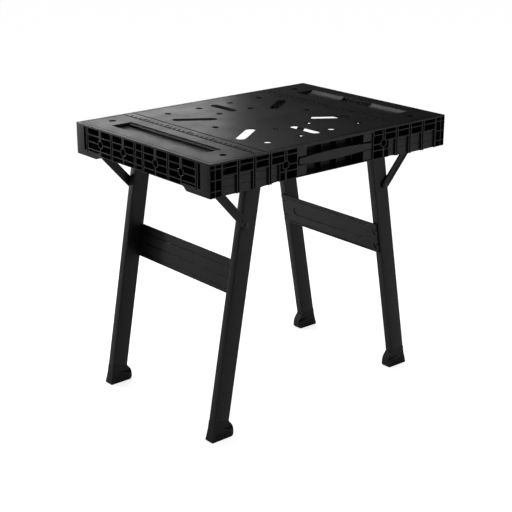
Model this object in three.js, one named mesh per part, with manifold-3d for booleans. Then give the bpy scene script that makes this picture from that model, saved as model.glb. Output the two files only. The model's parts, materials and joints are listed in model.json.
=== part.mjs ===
// Folding workbench: a moulded top with dog holes, clamp slots and tool trays, carried by two pairs of
// splayed tube legs. Each pair folds up under the top: its pivot slides outward in two rails while two
// struts steer it. Millimetres, X along the top, Y across it, Z up, origin on the floor under the middle.
import * as THREE from 'three';
import { mergeVertices } from 'three/addons/utils/BufferGeometryUtils.js';
import Module from 'manifold-3d';

const DEGREE = Math.PI / 180;

// Overall size
const TOP_LENGTH = 850;
const TOP_WIDTH = 600;
const BENCH_HEIGHT = 785;
const TOP_CORNER_RADIUS = 3;

// Clearances: between pieces that rest on each other, and between pieces that move past each other
const FIT_GAP = 0.3;
const RUN_GAP = 1;

// How far a cut runs past the face it opens, and how near two points are to be one
const CUT_PAST = 1;
const WELD_DISTANCE = 1e-3;

// Deck panel, let into the rails
const DECK_SKIN = 2.5;
const RIM_WIDTH = 11;
const DECK_CORNER_RADIUS = 5;
const DECK_SEAM_WIDTH = 1.5;
const DECK_SEAM_DEPTH = 1.2;
const DECK_RIB_THICKNESS = 3;
const DECK_RIB_DEPTH = 13.5;
const DECK_MIDDLE_RIB_Y = 20;
const DECK_CROSS_RIB_X = [219, 298];

// Dog holes: one in each corner, and a group round the middle
const DOG_HOLE_DIAMETER = 20;
const CORNER_HOLE_INSET_X = 85;
const CORNER_HOLE_INSET_Y = 54;
const HOLE_NEAR_X = 57.5;
const HOLE_FAR_X = 169.5;
const HOLE_NEAR_Y = 122.5;
const HOLE_FAR_Y = 217;

// Clamp slots: four that point at the middle, and two across the top
const CLAMP_SLOT_LENGTH = 126;
const CLAMP_SLOT_WIDTH = 28;
const CLAMP_SLOT_X = 155;
const CLAMP_SLOT_Y = 111;
const CLAMP_SLOT_TURN = 35 * DEGREE;
const CROSS_SLOT_LENGTH = 108;
const CROSS_SLOT_WIDTH = 27;
const CROSS_SLOT_Y = 175;

// Tool trays along both ends, with a step on the inner side; the outer side is scooped towards their ends
const TRAY_INSET = 51;
const TRAY_WIDTH = 54.5;
const TRAY_LENGTH = 400;
const TRAY_DEPTH = 9;
const TRAY_STEP_WIDTH = 10.5;
const TRAY_STEP_DEPTH = 3.2;
const TRAY_SCOOP_WIDTH = 27;
const TRAY_MIDDLE_LENGTH = 120;
const TRAY_WALL = 3;

// Ruler bands: two fine grooves either side of a scale
const RULE_PLACES_X = [-256, 243];
const RULE_WIDTH = 33;
const RULE_GROOVE_WIDTH = 1.8;
const RULE_GROOVE_DEPTH = 1.2;

// End rails, with smooth corner posts and ribbed cells between them
const END_RAIL_DEPTH = 27;
const END_CORNER_DROP = 88;
const END_MIDDLE_DROP = 77;
const END_CURVE_OUTER_INSET = 93;
const END_CURVE_INNER_INSET = 115;
const END_CELL_DEPTH = 22;
const END_POST_WIDTH = 39;
const END_SLIT_WIDTH = 10;
const END_SLIT_RELIEF = 6;
const END_FIRST_RIB_Y = 18;
const END_BAYS = 4;
const END_BAY_PITCH = 54.5;
const TOP_BAND = 5;
const BOTTOM_BAND = 2;
const END_ROW_DROPS = [23.7, 43, 63];
const END_SKIRT_SLIT_DROP = 70;
const END_RIB_GROOVE_DEPTH = 3;

// Ribs shared by the end and side rails
const THIN_RIB = 3;
const DOUBLE_RIB = 11;
const DOUBLE_RIB_GROOVE_WIDTH = 4;
const HEX_RING_RADIUS = 13.5;
const HEX_HOLE_RADIUS = 10;
const HEX_DROP = 43;
const HEX_COLUMN_ABOVE = 11;
const HEX_COLUMN_BELOW = 6;

// Corner blocks at the ends of the end rails, with cells cut into them from the front and rear
const CORNER_BLOCK_LENGTH = 38;
const CORNER_CELL_DEPTH = 20;
const CORNER_CELL_WALL = 2.5;
const CORNER_RIB_INSET = 16.5;
const CORNER_ROW_DROPS = [15, 43, 71];

// Side rails, with smooth lower panels
const SIDE_RAIL_DEPTH = 28;
const SIDE_END_DROP = 89;
const SIDE_MIDDLE_DROP = 84;
const SIDE_STEP_OUTER_X = 262;
const SIDE_STEP_INNER_X = 198;
const SIDE_CELL_DEPTH = 25;
const SIDE_BAYS = 4;
const SIDE_ROW_DROPS = [16.5, 36];
const SIDE_RIB_GROOVE_DEPTH = 18;
const SIDE_PANEL_RECESS = 5.5;
const SIDE_PANEL_WALL = 3;
const SIDE_NODE_PANEL_GAP = 19;
const NODE_ROW_DROPS = [17, 43, 60];

// Handle recess in the middle of each side rail, and the grip bar in it
const HANDLE_HALF_LENGTH = 137;
const HANDLE_NODE_BAY = 41;
const HANDLE_END_BAND = 34;
const HANDLE_BAND_RECESS = 4;
const HANDLE_DEPTH = 43;
const HANDLE_WALL = 3;
const HANDLE_TOP_DROP = 7;
const HANDLE_RIB_PITCH = 56;
const HANDLE_RIB_COUNT = 4;
const HANDLE_RIB_PROUD = 14;
const GRIP_LENGTH = 264;
const GRIP_THICKNESS = 17;
const GRIP_DROP = 42.5;
const GRIP_MIDDLE_HEIGHT = 27;
const GRIP_END_HEIGHT = 16;

// Legs: rectangular tube, splayed along X, on pivots under the deck
const LEG_WIDTH = 51;
const LEG_THICKNESS = 25;
const LEG_WALL = 1.5;
const LEG_CORNER_RADIUS = 2.5;
const LEG_SPLAY = 10 * DEGREE;
const LEG_FLOOR_INSET = 58;
const LEFT_LEG_INSET_Y = 60;
const RIGHT_LEG_INSET_Y = 98;
const PIVOT_DROP = 60;
const LEG_TOP_OVERHANG = 8;
const FOLD_ANGLE = 97.5 * DEGREE;

// Leg caps and feet, plugged into the ends of the tube; a foot flares towards the floor
const CAP_FLANGE = 3;
const CAP_PLUG_LENGTH = 35;
const FOOT_HEIGHT = 54;
const FOOT_FLARE = 2;
const FOOT_FLARE_HEIGHT = 32;
const FOOT_HEEL_RADIUS = 4;
const FOOT_TOE_REACH = 23;
const FOOT_TOE_RADIUS = 10;
const FOOT_TOE_HEIGHT = 20;
const FOOT_TOE_TOP = 47;
const FOOT_GROOVE_COUNT = 6;
const FOOT_GROOVE_PITCH = 8.5;
const FOOT_GROOVE_WIDTH = 3.5;
const FOOT_GROOVE_DEPTH = 2.5;
const FOOT_GROOVE_BOTTOM = 3;
const FOOT_GROOVE_TOP = 22;

// Cross panels, screwed to the inner faces of the legs; the bevelled lower edges pass each other in the fold
const PANEL_FROM_PIVOT = 254;
const PANEL_HEIGHT = 94;
const PANEL_THICKNESS = 5;
const PANEL_LOWER_BEVEL = 4;
const PANEL_GROOVE_WIDTH = 4.5;
const PANEL_GROOVE_DEPTH = 2.2;
const PANEL_GROOVE_SHARES = [0.235, 0.55, 0.875];
const PANEL_GROOVE_MARGIN = 10;
const PANEL_LIP_SHARES = [0.08, 0.9];
const PANEL_CHANNEL_SHARE = 0.48;
const PANEL_CHANNEL_WIDTH = 25;
const PANEL_CHANNEL_MARGIN = 45;
const PANEL_POCKET_DIAMETER = 21;
const PANEL_RELIEF_DEPTH = 1.9;
const PANEL_END_INSET = 7;
const PANEL_SCREW_MARGIN = 24;
const SCREW_HEAD_DIAMETER = 9;
const SCREW_HEAD_HEIGHT = 2.5;
const SCREW_SHANK_DIAMETER = 4;
const SCREW_BITE = 6;

// Pivot pins and slide rails
const PIVOT_PIN_DIAMETER = 10;
const SHOE_LENGTH = 40;
const SHOE_HEIGHT = 19.4;
const SHOE_THICKNESS = 4.9;
const RAIL_WALL = 2;
const RAIL_FLANGE_WIDTH = 20;
const RAIL_FLANGE_THICKNESS = 3;

// Struts: lower pin on the leg, upper stud under a hook bracket
const STRUT_PIN_ALONG = 140;
const STRUT_PIN_OUT = 11.5;
const STRUT_SEAT_INSET = 40;
const STRUT_SEAT_DROP = 74.5;
const STRUT_WIDTH = 24;
const STRUT_THICKNESS = 6;
const STRUT_GROOVE_WIDTH = 10;
const STRUT_GROOVE_DEPTH = 1.5;
const STRUT_PIN_DIAMETER = 8;
const STRUT_HEAD_DIAMETER = 14;
const STRUT_HEAD_HEIGHT = 2;
const BRACKET_HALF_WIDTH = 11;
const BRACKET_THICKNESS = 4;
const BRACKET_BELOW_STUD = 10;
const BRACKET_FLANGE_WIDTH = 21;
const BRACKET_MOUTH_TURN = 40 * DEGREE;

// Facets of round faces
const HOLE_SIDES = 16;
const PIN_SIDES = 10;
const ARC_STEPS = 3;

// Levels and places worked out from the sizes above
const deckTop = BENCH_HEIGHT;
const deckUnder = deckTop - DECK_SKIN;
const deckRibPlane = deckUnder - DECK_RIB_DEPTH;
const halfLength = TOP_LENGTH / 2;
const halfWidth = TOP_WIDTH / 2;
const endRailInner = halfLength - END_RAIL_DEPTH;
const sideRailInner = halfWidth - SIDE_RAIL_DEPTH;
const cornerInner = halfLength - CORNER_BLOCK_LENGTH;
const sideRailEnd = cornerInner - FIT_GAP;
const legFloorX = halfLength - LEG_FLOOR_INSET;
const pivotZ = deckTop - PIVOT_DROP;
const pivotX = legFloorX - Math.tan(LEG_SPLAY) * pivotZ;
const strutPin = {
  x: pivotX + STRUT_PIN_ALONG * Math.sin(LEG_SPLAY) + STRUT_PIN_OUT * Math.cos(LEG_SPLAY),
  z: pivotZ - STRUT_PIN_ALONG * Math.cos(LEG_SPLAY) + STRUT_PIN_OUT * Math.sin(LEG_SPLAY),
};
const strutSeat = { x: halfLength - STRUT_SEAT_INSET, z: deckTop - STRUT_SEAT_DROP };
const strutLength = Math.hypot(strutSeat.x - strutPin.x, strutSeat.z - strutPin.z);

// How far the leg pivot slides outward between open and folded: the strut keeps its length, so the strut
// pin ends that far from the seat, and the leg keeps the strut pin at a fixed place from its pivot
function slideTravel() {
  const dx = strutPin.x - pivotX;
  const dz = strutPin.z - pivotZ;
  const foldedX = dx * Math.cos(FOLD_ANGLE) + dz * Math.sin(FOLD_ANGLE);
  const foldedZ = dz * Math.cos(FOLD_ANGLE) - dx * Math.sin(FOLD_ANGLE);
  const drop = pivotZ + foldedZ - strutSeat.z;
  return strutSeat.x - Math.sqrt(strutLength ** 2 - drop ** 2) - foldedX - pivotX;
}

const travel = slideTravel();

// Solid modelling: closed three.js geometries become solids that can be joined and cut
const wasm = await Module();
wasm.setup();

function solidOf(geometry) {
  geometry.deleteAttribute('normal');
  geometry.deleteAttribute('uv');
  const welded = mergeVertices(geometry, WELD_DISTANCE);
  const vertProperties = new Float32Array(welded.attributes.position.array);
  const triVerts = new Uint32Array(welded.index.array);
  return new wasm.Manifold(new wasm.Mesh({ numProp: 3, vertProperties, triVerts }));
}

const outlineAlong = {
  x: new THREE.Matrix4().set(0, 0, 1, 0, 1, 0, 0, 0, 0, 1, 0, 0, 0, 0, 0, 1),
  y: new THREE.Matrix4().set(1, 0, 0, 0, 0, 0, -1, 0, 0, 1, 0, 0, 0, 0, 0, 1),
  z: new THREE.Matrix4(),
};

// A prism along an axis; its outline is given in the other two coordinates, in the order x, y, z
function prism(axis, outline, from, to) {
  const low = Math.min(from, to);
  const high = Math.max(from, to);
  const shape = new THREE.Shape(outline.map(([u, v]) => new THREE.Vector2(u, v)));
  const geometry = new THREE.ExtrudeGeometry(shape, { depth: high - low, bevelEnabled: false });
  geometry.applyMatrix4(outlineAlong[axis]);
  geometry.translate(axis === 'x' ? low : 0, axis === 'y' ? high : 0, axis === 'z' ? low : 0);
  return solidOf(geometry);
}

function box([x0, x1], [y0, y1], [z0, z1]) {
  const geometry = new THREE.BoxGeometry(Math.abs(x1 - x0), Math.abs(y1 - y0), Math.abs(z1 - z0));
  geometry.translate((x0 + x1) / 2, (y0 + y1) / 2, (z0 + z1) / 2);
  return solidOf(geometry);
}

function arc(u, v, radius, start, end, steps) {
  return Array.from({ length: steps + 1 }, (_, i) => {
    const angle = start + ((end - start) * i) / steps;
    return [u + radius * Math.cos(angle), v + radius * Math.sin(angle)];
  });
}

function circle(u, v, diameter, sides) {
  return arc(u, v, diameter / 2, 0, 2 * Math.PI * (1 - 1 / sides), sides - 1);
}

function roundedRectangle(length, width, radius) {
  const u = length / 2 - radius;
  const v = width / 2 - radius;
  return [
    ...arc(u, v, radius, 0, Math.PI / 2, ARC_STEPS),
    ...arc(-u, v, radius, Math.PI / 2, Math.PI, ARC_STEPS),
    ...arc(-u, -v, radius, Math.PI, 1.5 * Math.PI, ARC_STEPS),
    ...arc(u, -v, radius, 1.5 * Math.PI, 2 * Math.PI, ARC_STEPS),
  ];
}

// A bar with round ends between two points
function obround(u0, v0, u1, v1, width) {
  const turn = Math.atan2(v1 - v0, u1 - u0);
  return [
    ...arc(u1, v1, width / 2, turn - Math.PI / 2, turn + Math.PI / 2, 2 * ARC_STEPS),
    ...arc(u0, v0, width / 2, turn + Math.PI / 2, turn + 1.5 * Math.PI, 2 * ARC_STEPS),
  ];
}

function cutAll(solid, cuts) {
  return cuts.reduce((rest, cut) => rest.subtract(cut), solid);
}

function joinAll(solid, additions) {
  return additions.reduce((whole, addition) => whole.add(addition), solid);
}

const bothSigns = [-1, 1];

function mirrored([low, high], sign) {
  return [sign * low, sign * high];
}

// Materials: every piece is black, in moulded plastic, powder-coated steel or blackened steel
const finishes = {
  plastic: { color: 0x1b1b1d, roughness: 0.55, metalness: 0 },
  coatedSteel: { color: 0x18191b, roughness: 0.42, metalness: 0.2 },
  blackenedSteel: { color: 0x2a2b2d, roughness: 0.35, metalness: 0.9 },
};

function piece(name, solid, finish) {
  const cut = solid.getMesh();
  const geometry = new THREE.BufferGeometry();
  geometry.setAttribute('position', new THREE.BufferAttribute(cut.vertProperties, 3));
  geometry.setIndex(new THREE.BufferAttribute(cut.triVerts, 1));
  geometry.computeVertexNormals();
  const mesh = new THREE.Mesh(geometry, new THREE.MeshStandardMaterial(finishes[finish]));
  mesh.name = name;
  return mesh;
}

// The seat that the deck panel drops into, cut from every rail
function deckSeat() {
  const outline = roundedRectangle(TOP_LENGTH - 2 * RIM_WIDTH, TOP_WIDTH - 2 * RIM_WIDTH, DECK_CORNER_RADIUS);
  return prism('z', outline, deckUnder - FIT_GAP, deckTop + CUT_PAST);
}

function topBlank() {
  const outline = roundedRectangle(TOP_LENGTH, TOP_WIDTH, TOP_CORNER_RADIUS);
  return prism('z', outline, deckTop - END_CORNER_DROP - CUT_PAST, deckTop);
}

// Deck panel
function dogHolePlaces() {
  const places = [];
  for (const sx of bothSigns) {
    places.push([sx * HOLE_FAR_X, 0]);
    for (const sy of bothSigns) {
      places.push([sx * (halfLength - CORNER_HOLE_INSET_X), sy * (halfWidth - CORNER_HOLE_INSET_Y)]);
      places.push([sx * HOLE_NEAR_X, sy * HOLE_FAR_Y]);
      places.push([sx * HOLE_FAR_X, sy * HOLE_FAR_Y]);
      places.push([sx * HOLE_NEAR_X, sy * HOLE_NEAR_Y]);
    }
  }
  return places;
}

function clampSlotOutlines() {
  const outlines = [];
  const half = (CLAMP_SLOT_LENGTH - CLAMP_SLOT_WIDTH) / 2;
  const du = half * Math.cos(CLAMP_SLOT_TURN);
  const dv = half * Math.sin(CLAMP_SLOT_TURN);
  const crossHalf = (CROSS_SLOT_LENGTH - CROSS_SLOT_WIDTH) / 2;
  for (const sy of bothSigns) {
    const y = sy * CROSS_SLOT_Y;
    outlines.push(obround(0, y - crossHalf, 0, y + crossHalf, CROSS_SLOT_WIDTH));
    for (const sx of bothSigns) {
      const near = [sx * (CLAMP_SLOT_X - du), sy * (CLAMP_SLOT_Y - dv)];
      const far = [sx * (CLAMP_SLOT_X + du), sy * (CLAMP_SLOT_Y + dv)];
      outlines.push(obround(...near, ...far, CLAMP_SLOT_WIDTH));
    }
  }
  return outlines;
}

const trayOuter = halfLength - TRAY_INSET;
const trayInner = trayOuter - TRAY_WIDTH;
const trayStep = trayInner - TRAY_STEP_WIDTH;
const trayFloor = deckTop - TRAY_DEPTH;

function trayPan(sx) {
  const half = TRAY_LENGTH / 2 + TRAY_WALL;
  const alongX = mirrored([trayStep - TRAY_WALL, trayOuter + TRAY_WALL], sx);
  return box(alongX, [-half, half], [trayFloor - DECK_SKIN, deckTop]);
}

// The section of a tray at its ends: an arc rises from the floor to the outer edge
function scoopOutline(sx) {
  const above = deckTop + CUT_PAST;
  const radius = (TRAY_SCOOP_WIDTH ** 2 + TRAY_DEPTH ** 2) / (2 * TRAY_DEPTH);
  const low = -Math.PI / 2;
  const high = low + Math.asin(TRAY_SCOOP_WIDTH / radius);
  const rise = arc(trayOuter - TRAY_SCOOP_WIDTH, trayFloor + radius, radius, low, high, 2 * ARC_STEPS);
  const section = [[trayInner, trayFloor], ...rise, [trayOuter, above], [trayInner, above]];
  return section.map(([x, z]) => [sx * x, z]);
}

function trayCuts(sx) {
  const half = TRAY_LENGTH / 2;
  const halfMiddle = TRAY_MIDDLE_LENGTH / 2;
  const above = deckTop + CUT_PAST;
  const stepX = mirrored([trayStep, trayInner + FIT_GAP], sx);
  return [
    prism('y', scoopOutline(sx), -half, half),
    box(mirrored([trayInner, trayOuter], sx), [-halfMiddle, halfMiddle], [trayFloor, above]),
    box(stepX, [-half, half], [deckTop - TRAY_STEP_DEPTH, above]),
  ];
}

function deckPanel(ends) {
  const length = TOP_LENGTH - 2 * (RIM_WIDTH + FIT_GAP);
  const width = TOP_WIDTH - 2 * (RIM_WIDTH + FIT_GAP);
  const ribSpan = [deckRibPlane, deckUnder + FIT_GAP];
  const through = [deckRibPlane - CUT_PAST, deckTop + CUT_PAST];
  const ribHalf = DECK_RIB_THICKNESS / 2;
  const longRibEnd = Math.max(...DECK_CROSS_RIB_X);
  const crossRibEnd = sideRailInner - RUN_GAP;
  const radius = DECK_CORNER_RADIUS - FIT_GAP;
  const upper = [length, width, radius].map((size, i) => size - (i < 2 ? 2 : 1) * DECK_SEAM_WIDTH);
  const seam = deckTop - DECK_SEAM_DEPTH;
  const plate = joinAll(prism('z', roundedRectangle(length, width, radius), deckUnder, seam), [
    prism('z', roundedRectangle(...upper), deckUnder, deckTop),
  ]);
  const additions = [];
  const cuts = [];
  for (const sign of bothSigns) {
    const y = sign * DECK_MIDDLE_RIB_Y;
    additions.push(trayPan(sign));
    additions.push(box([-longRibEnd, longRibEnd], [y - ribHalf, y + ribHalf], ribSpan));
    for (const ribX of DECK_CROSS_RIB_X) {
      const x = sign * ribX;
      additions.push(box([x - ribHalf, x + ribHalf], [-crossRibEnd, crossRibEnd], ribSpan));
    }
    cuts.push(...trayCuts(sign));
    for (const ruleX of RULE_PLACES_X) {
      const x = ruleX + (sign * RULE_WIDTH) / 2;
      const across = [x - RULE_GROOVE_WIDTH / 2, x + RULE_GROOVE_WIDTH / 2];
      cuts.push(box(across, [-halfWidth, halfWidth], [deckTop - RULE_GROOVE_DEPTH, deckTop + CUT_PAST]));
    }
  }
  for (const { sx, legY } of ends) {
    for (const [alongX, alongY] of [slideRailPad(legY), bracketPad(legY)]) {
      bothSigns.forEach((sy) => additions.push(box(mirrored(alongX, sx), mirrored(alongY, sy), ribSpan)));
    }
  }
  for (const [x, y] of dogHolePlaces()) {
    cuts.push(prism('z', circle(x, y, DOG_HOLE_DIAMETER, HOLE_SIDES), ...through));
  }
  for (const outline of clampSlotOutlines()) {
    cuts.push(prism('z', outline, ...through));
  }
  return cutAll(joinAll(plate, additions), cuts);
}

// End rail, built at the +X end
function rowsBetween(drops, bottomDrop) {
  const edges = [];
  let upper = TOP_BAND;
  for (const drop of drops) {
    edges.push([deckTop - upper, deckTop - drop + THIN_RIB / 2]);
    upper = drop + THIN_RIB / 2;
  }
  edges.push([deckTop - upper, deckTop - bottomDrop]);
  return edges;
}

function hexColumnHalf([, bottom]) {
  return (bottom > deckTop - HEX_DROP ? HEX_COLUMN_ABOVE : HEX_COLUMN_BELOW) / 2;
}

function endOutline() {
  const low = deckTop - END_CORNER_DROP;
  const middle = deckTop - END_MIDDLE_DROP;
  const outer = halfWidth - END_CURVE_OUTER_INSET;
  const inner = halfWidth - END_CURVE_INNER_INSET;
  const bend = (outer - inner) / 2;
  const curve = new THREE.CubicBezierCurve(
    new THREE.Vector2(outer, low),
    new THREE.Vector2(outer - bend, low),
    new THREE.Vector2(inner + bend, middle),
    new THREE.Vector2(inner, middle),
  ).getPoints(2 * ARC_STEPS);
  const right = [[halfWidth, deckTop], [halfWidth, low], ...curve.map((p) => [p.x, p.y])];
  const left = right.map(([y, z]) => [-y, z]).reverse();
  return [...right, ...left];
}

function endCells() {
  const cuts = [];
  const depth = [halfLength - END_CELL_DEPTH, halfLength + CUT_PAST];
  const grooveDepth = [halfLength - END_RIB_GROOVE_DEPTH, halfLength + CUT_PAST];
  const slitOuter = halfWidth - END_POST_WIDTH;
  const slitInner = slitOuter - END_SLIT_WIDTH;
  const frameY = slitInner - DOUBLE_RIB / 2;
  const ribs = Array.from({ length: END_BAYS + 1 }, (_, i) => ({
    y: i === END_BAYS ? frameY : END_FIRST_RIB_Y + i * END_BAY_PITCH,
    double: i % 2 === 0,
  }));
  const halfAt = (rib, row) => (rib.double ? DOUBLE_RIB / 2 : hexColumnHalf(row));
  const rows = rowsBetween(END_ROW_DROPS, END_MIDDLE_DROP - BOTTOM_BAND);
  const skirtRows = rowsBetween(END_ROW_DROPS, END_SKIRT_SLIT_DROP);
  const groove = [deckTop - END_MIDDLE_DROP + BOTTOM_BAND, deckTop - TOP_BAND];
  const edge = END_FIRST_RIB_Y - DOUBLE_RIB / 2;
  rows.forEach((row) => cuts.push(box(depth, [-edge, edge], row)));
  for (const sy of bothSigns) {
    ribs.slice(1).forEach((rib, i) => {
      const cells = i === END_BAYS - 1 ? skirtRows : rows;
      for (const row of cells) {
        const from = sy * (ribs[i].y + halfAt(ribs[i], row));
        const to = sy * (rib.y - halfAt(rib, row));
        cuts.push(box(depth, [from, to], row));
      }
    });
    for (const rib of ribs.filter(({ double }) => double)) {
      const y = sy * rib.y;
      const across = [y - DOUBLE_RIB_GROOVE_WIDTH / 2, y + DOUBLE_RIB_GROOVE_WIDTH / 2];
      cuts.push(box(grooveDepth, across, groove));
    }
    skirtRows.forEach((row) => cuts.push(box(depth, [sy * slitInner, sy * slitOuter], row)));
    const relief = [halfLength - END_SLIT_RELIEF, halfLength + CUT_PAST];
    const reliefZ = [deckTop - END_SKIRT_SLIT_DROP, deckTop - TOP_BAND];
    cuts.push(box(relief, [sy * slitInner, sy * slitOuter], reliefZ));
  }
  const nodes = ribs.filter(({ double }) => !double).flatMap(({ y }) => [-y, y]);
  return { cuts, nodes };
}

function cornerCells() {
  const cuts = [];
  const rows = rowsBetween(CORNER_ROW_DROPS, END_CORNER_DROP - BOTTOM_BAND);
  const ribX = halfLength - CORNER_RIB_INSET;
  const columns = [
    [ribX + THIN_RIB / 2, halfLength - CORNER_CELL_WALL],
    [cornerInner + CORNER_CELL_WALL, ribX - THIN_RIB / 2],
  ];
  for (const sy of bothSigns) {
    const depth = [sy * (halfWidth - CORNER_CELL_DEPTH), sy * (halfWidth + CUT_PAST)];
    for (const column of columns) {
      rows.forEach((row) => cuts.push(box(column, depth, row)));
    }
  }
  return cuts;
}

function hexagon(u, v, radius) {
  return arc(u, v, radius, Math.PI / 6, Math.PI / 6 + (5 / 3) * Math.PI, 5);
}

function endRail() {
  const { cuts, nodes } = endCells();
  const hexZ = deckTop - HEX_DROP;
  const floorX = halfLength - END_CELL_DEPTH;
  const ring = (y) => prism('x', hexagon(y, hexZ, HEX_RING_RADIUS), floorX - FIT_GAP, halfLength);
  const hole = (y) => prism('x', hexagon(y, hexZ, HEX_HOLE_RADIUS), floorX, halfLength + CUT_PAST);
  const corners = bothSigns.map((sy) => box(
    [cornerInner, endRailInner + FIT_GAP],
    [sy * (sideRailInner + FIT_GAP), sy * halfWidth],
    [deckTop - END_CORNER_DROP, deckTop],
  ));
  const rail = prism('x', endOutline(), endRailInner, halfLength).intersect(topBlank());
  const blank = joinAll(rail, corners);
  const ribbed = cutAll(blank, [...cuts, ...cornerCells()]);
  return cutAll(joinAll(ribbed, nodes.map(ring)), [...nodes.map(hole), deckSeat()]);
}

// Side rail, built at the front: its outer face is at -Y
function sideOutline() {
  const end = sideRailEnd;
  const low = deckTop - SIDE_END_DROP;
  const middle = deckTop - SIDE_MIDDLE_DROP;
  const right = [[end, deckTop], [end, low], [SIDE_STEP_OUTER_X, low], [SIDE_STEP_INNER_X, middle]];
  return [...right, ...right.map(([x, z]) => [-x, z]).reverse()];
}

function sideBays() {
  const first = HANDLE_HALF_LENGTH + HANDLE_NODE_BAY;
  const pitch = (sideRailEnd - first) / SIDE_BAYS;
  return Array.from({ length: SIDE_BAYS + 1 }, (_, i) => first + i * pitch);
}

function sideCells() {
  const cuts = [];
  const face = -halfWidth;
  const ribs = sideBays();
  const bottom = deckTop - SIDE_END_DROP - CUT_PAST;
  const panelTop = deckTop - SIDE_ROW_DROPS.at(-1) - THIN_RIB / 2;
  const cellDepth = [face - CUT_PAST, face + SIDE_CELL_DEPTH];
  const grooveDepth = [face - CUT_PAST, face + SIDE_RIB_GROOVE_DEPTH];
  const recessDepth = [face - CUT_PAST, face + SIDE_PANEL_RECESS];
  const hollowDepth = [face + SIDE_PANEL_RECESS + SIDE_PANEL_WALL, -sideRailInner + CUT_PAST];
  const hollow = [deckTop - SIDE_MIDDLE_DROP + THIN_RIB, panelTop - THIN_RIB];
  const lowest = SIDE_MIDDLE_DROP - BOTTOM_BAND;
  const handleRows = rowsBetween(NODE_ROW_DROPS, lowest);
  const bayRows = rowsBetween([...SIDE_ROW_DROPS, NODE_ROW_DROPS.at(-1)], lowest);
  const upperRows = bayRows.slice(0, SIDE_ROW_DROPS.length);
  const lowerRows = bayRows.slice(SIDE_ROW_DROPS.length);
  for (const sx of bothSigns) {
    const cut = (from, to, depth, levels) => cuts.push(box([sx * from, sx * to], depth, levels));
    const nodePanel = ribs[0] + SIDE_NODE_PANEL_GAP;
    handleRows.forEach((row) => {
      cut(HANDLE_HALF_LENGTH + THIN_RIB, ribs[0] - hexColumnHalf(row), cellDepth, row);
    });
    lowerRows.forEach((row) => cut(ribs[0] + hexColumnHalf(row), nodePanel, cellDepth, row));
    ribs.slice(1).forEach((rib, i) => {
      const to = rib - (i === SIDE_BAYS - 1 ? THIN_RIB : DOUBLE_RIB / 2);
      upperRows.forEach((row) => {
        cut(ribs[i] + (i === 0 ? hexColumnHalf(row) : DOUBLE_RIB / 2), to, cellDepth, row);
      });
      const panelFrom = i === 0 ? nodePanel + THIN_RIB : ribs[i] + DOUBLE_RIB / 2;
      cut(panelFrom, to, recessDepth, [bottom, panelTop]);
      cut(panelFrom, to, hollowDepth, hollow);
    });
    ribs.slice(0, -1).forEach((rib, i) => {
      const half = DOUBLE_RIB_GROOVE_WIDTH / 2;
      cut(rib - half, rib + half, grooveDepth, [i === 0 ? deckTop - HEX_DROP : bottom, deckTop - TOP_BAND]);
    });
  }
  return cuts;
}

function handleRibPlaces() {
  const first = (-(HANDLE_RIB_COUNT - 1) / 2) * HANDLE_RIB_PITCH;
  return Array.from({ length: HANDLE_RIB_COUNT }, (_, i) => first + i * HANDLE_RIB_PITCH);
}

function sideRail() {
  const face = -halfWidth;
  const boxBack = face + HANDLE_DEPTH + HANDLE_WALL;
  const bottom = deckTop - SIDE_MIDDLE_DROP;
  const half = HANDLE_HALF_LENGTH;
  const pocketHalf = half - HANDLE_END_BAND;
  const pocket = [bottom + BOTTOM_BAND, deckTop - HANDLE_TOP_DROP];
  const hexZ = deckTop - HEX_DROP;
  const nodeX = sideBays()[0];
  const floorY = face + SIDE_CELL_DEPTH;
  const ring = (sx) => prism('y', hexagon(sx * nodeX, hexZ, HEX_RING_RADIUS), face, floorY + FIT_GAP);
  const channelHalf = (GRIP_MIDDLE_HEIGHT + GRIP_END_HEIGHT) / 4 + RUN_GAP;
  const gripZ = deckTop - GRIP_DROP;
  const blank = joinAll(prism('y', sideOutline(), face, -sideRailInner), [
    box([-half, half], [-sideRailInner - FIT_GAP, boxBack], [bottom, deckTop]),
  ]);
  const ribbed = cutAll(blank, sideCells());
  const ringed = joinAll(ribbed, bothSigns.map(ring));
  const cuts = [
    deckSeat(),
    box([-pocketHalf, pocketHalf], [face - CUT_PAST, face + HANDLE_DEPTH], pocket),
  ];
  for (const sx of bothSigns) {
    const band = [sx * pocketHalf, sx * half];
    cuts.push(prism('y', hexagon(sx * nodeX, hexZ, HEX_HOLE_RADIUS), face - CUT_PAST, floorY));
    cuts.push(box(band, [face - CUT_PAST, face + HANDLE_BAND_RECESS], pocket));
    const channel = [sx * pocketHalf, sx * (GRIP_LENGTH / 2 + FIT_GAP)];
    const channelZ = [gripZ - channelHalf, gripZ + channelHalf];
    cuts.push(box(channel, [face - CUT_PAST, face + GRIP_THICKNESS + FIT_GAP], channelZ));
  }
  const pocketRibs = handleRibPlaces().map((x) => box(
    [x - THIN_RIB / 2, x + THIN_RIB / 2],
    [face + HANDLE_DEPTH - HANDLE_RIB_PROUD, face + HANDLE_DEPTH + FIT_GAP],
    [bottom + FIT_GAP, deckTop - HANDLE_TOP_DROP + FIT_GAP],
  ));
  return joinAll(cutAll(ringed, cuts), pocketRibs);
}

// Carry grip: a bar that swells towards its middle
function carryGrip() {
  const face = -halfWidth;
  const middle = deckTop - GRIP_DROP;
  const steps = 3 * ARC_STEPS;
  const upper = Array.from({ length: steps + 1 }, (_, i) => {
    const share = (2 * i) / steps - 1;
    const swell = (GRIP_MIDDLE_HEIGHT - GRIP_END_HEIGHT) * (1 - share * share);
    return [(share * GRIP_LENGTH) / 2, (GRIP_END_HEIGHT + swell) / 2];
  });
  const lower = upper.map(([x, z]) => [x, -z]).reverse();
  const outline = [...upper, ...lower].map(([x, z]) => [x, middle + z]);
  return prism('y', outline, face, face + GRIP_THICKNESS);
}

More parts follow.
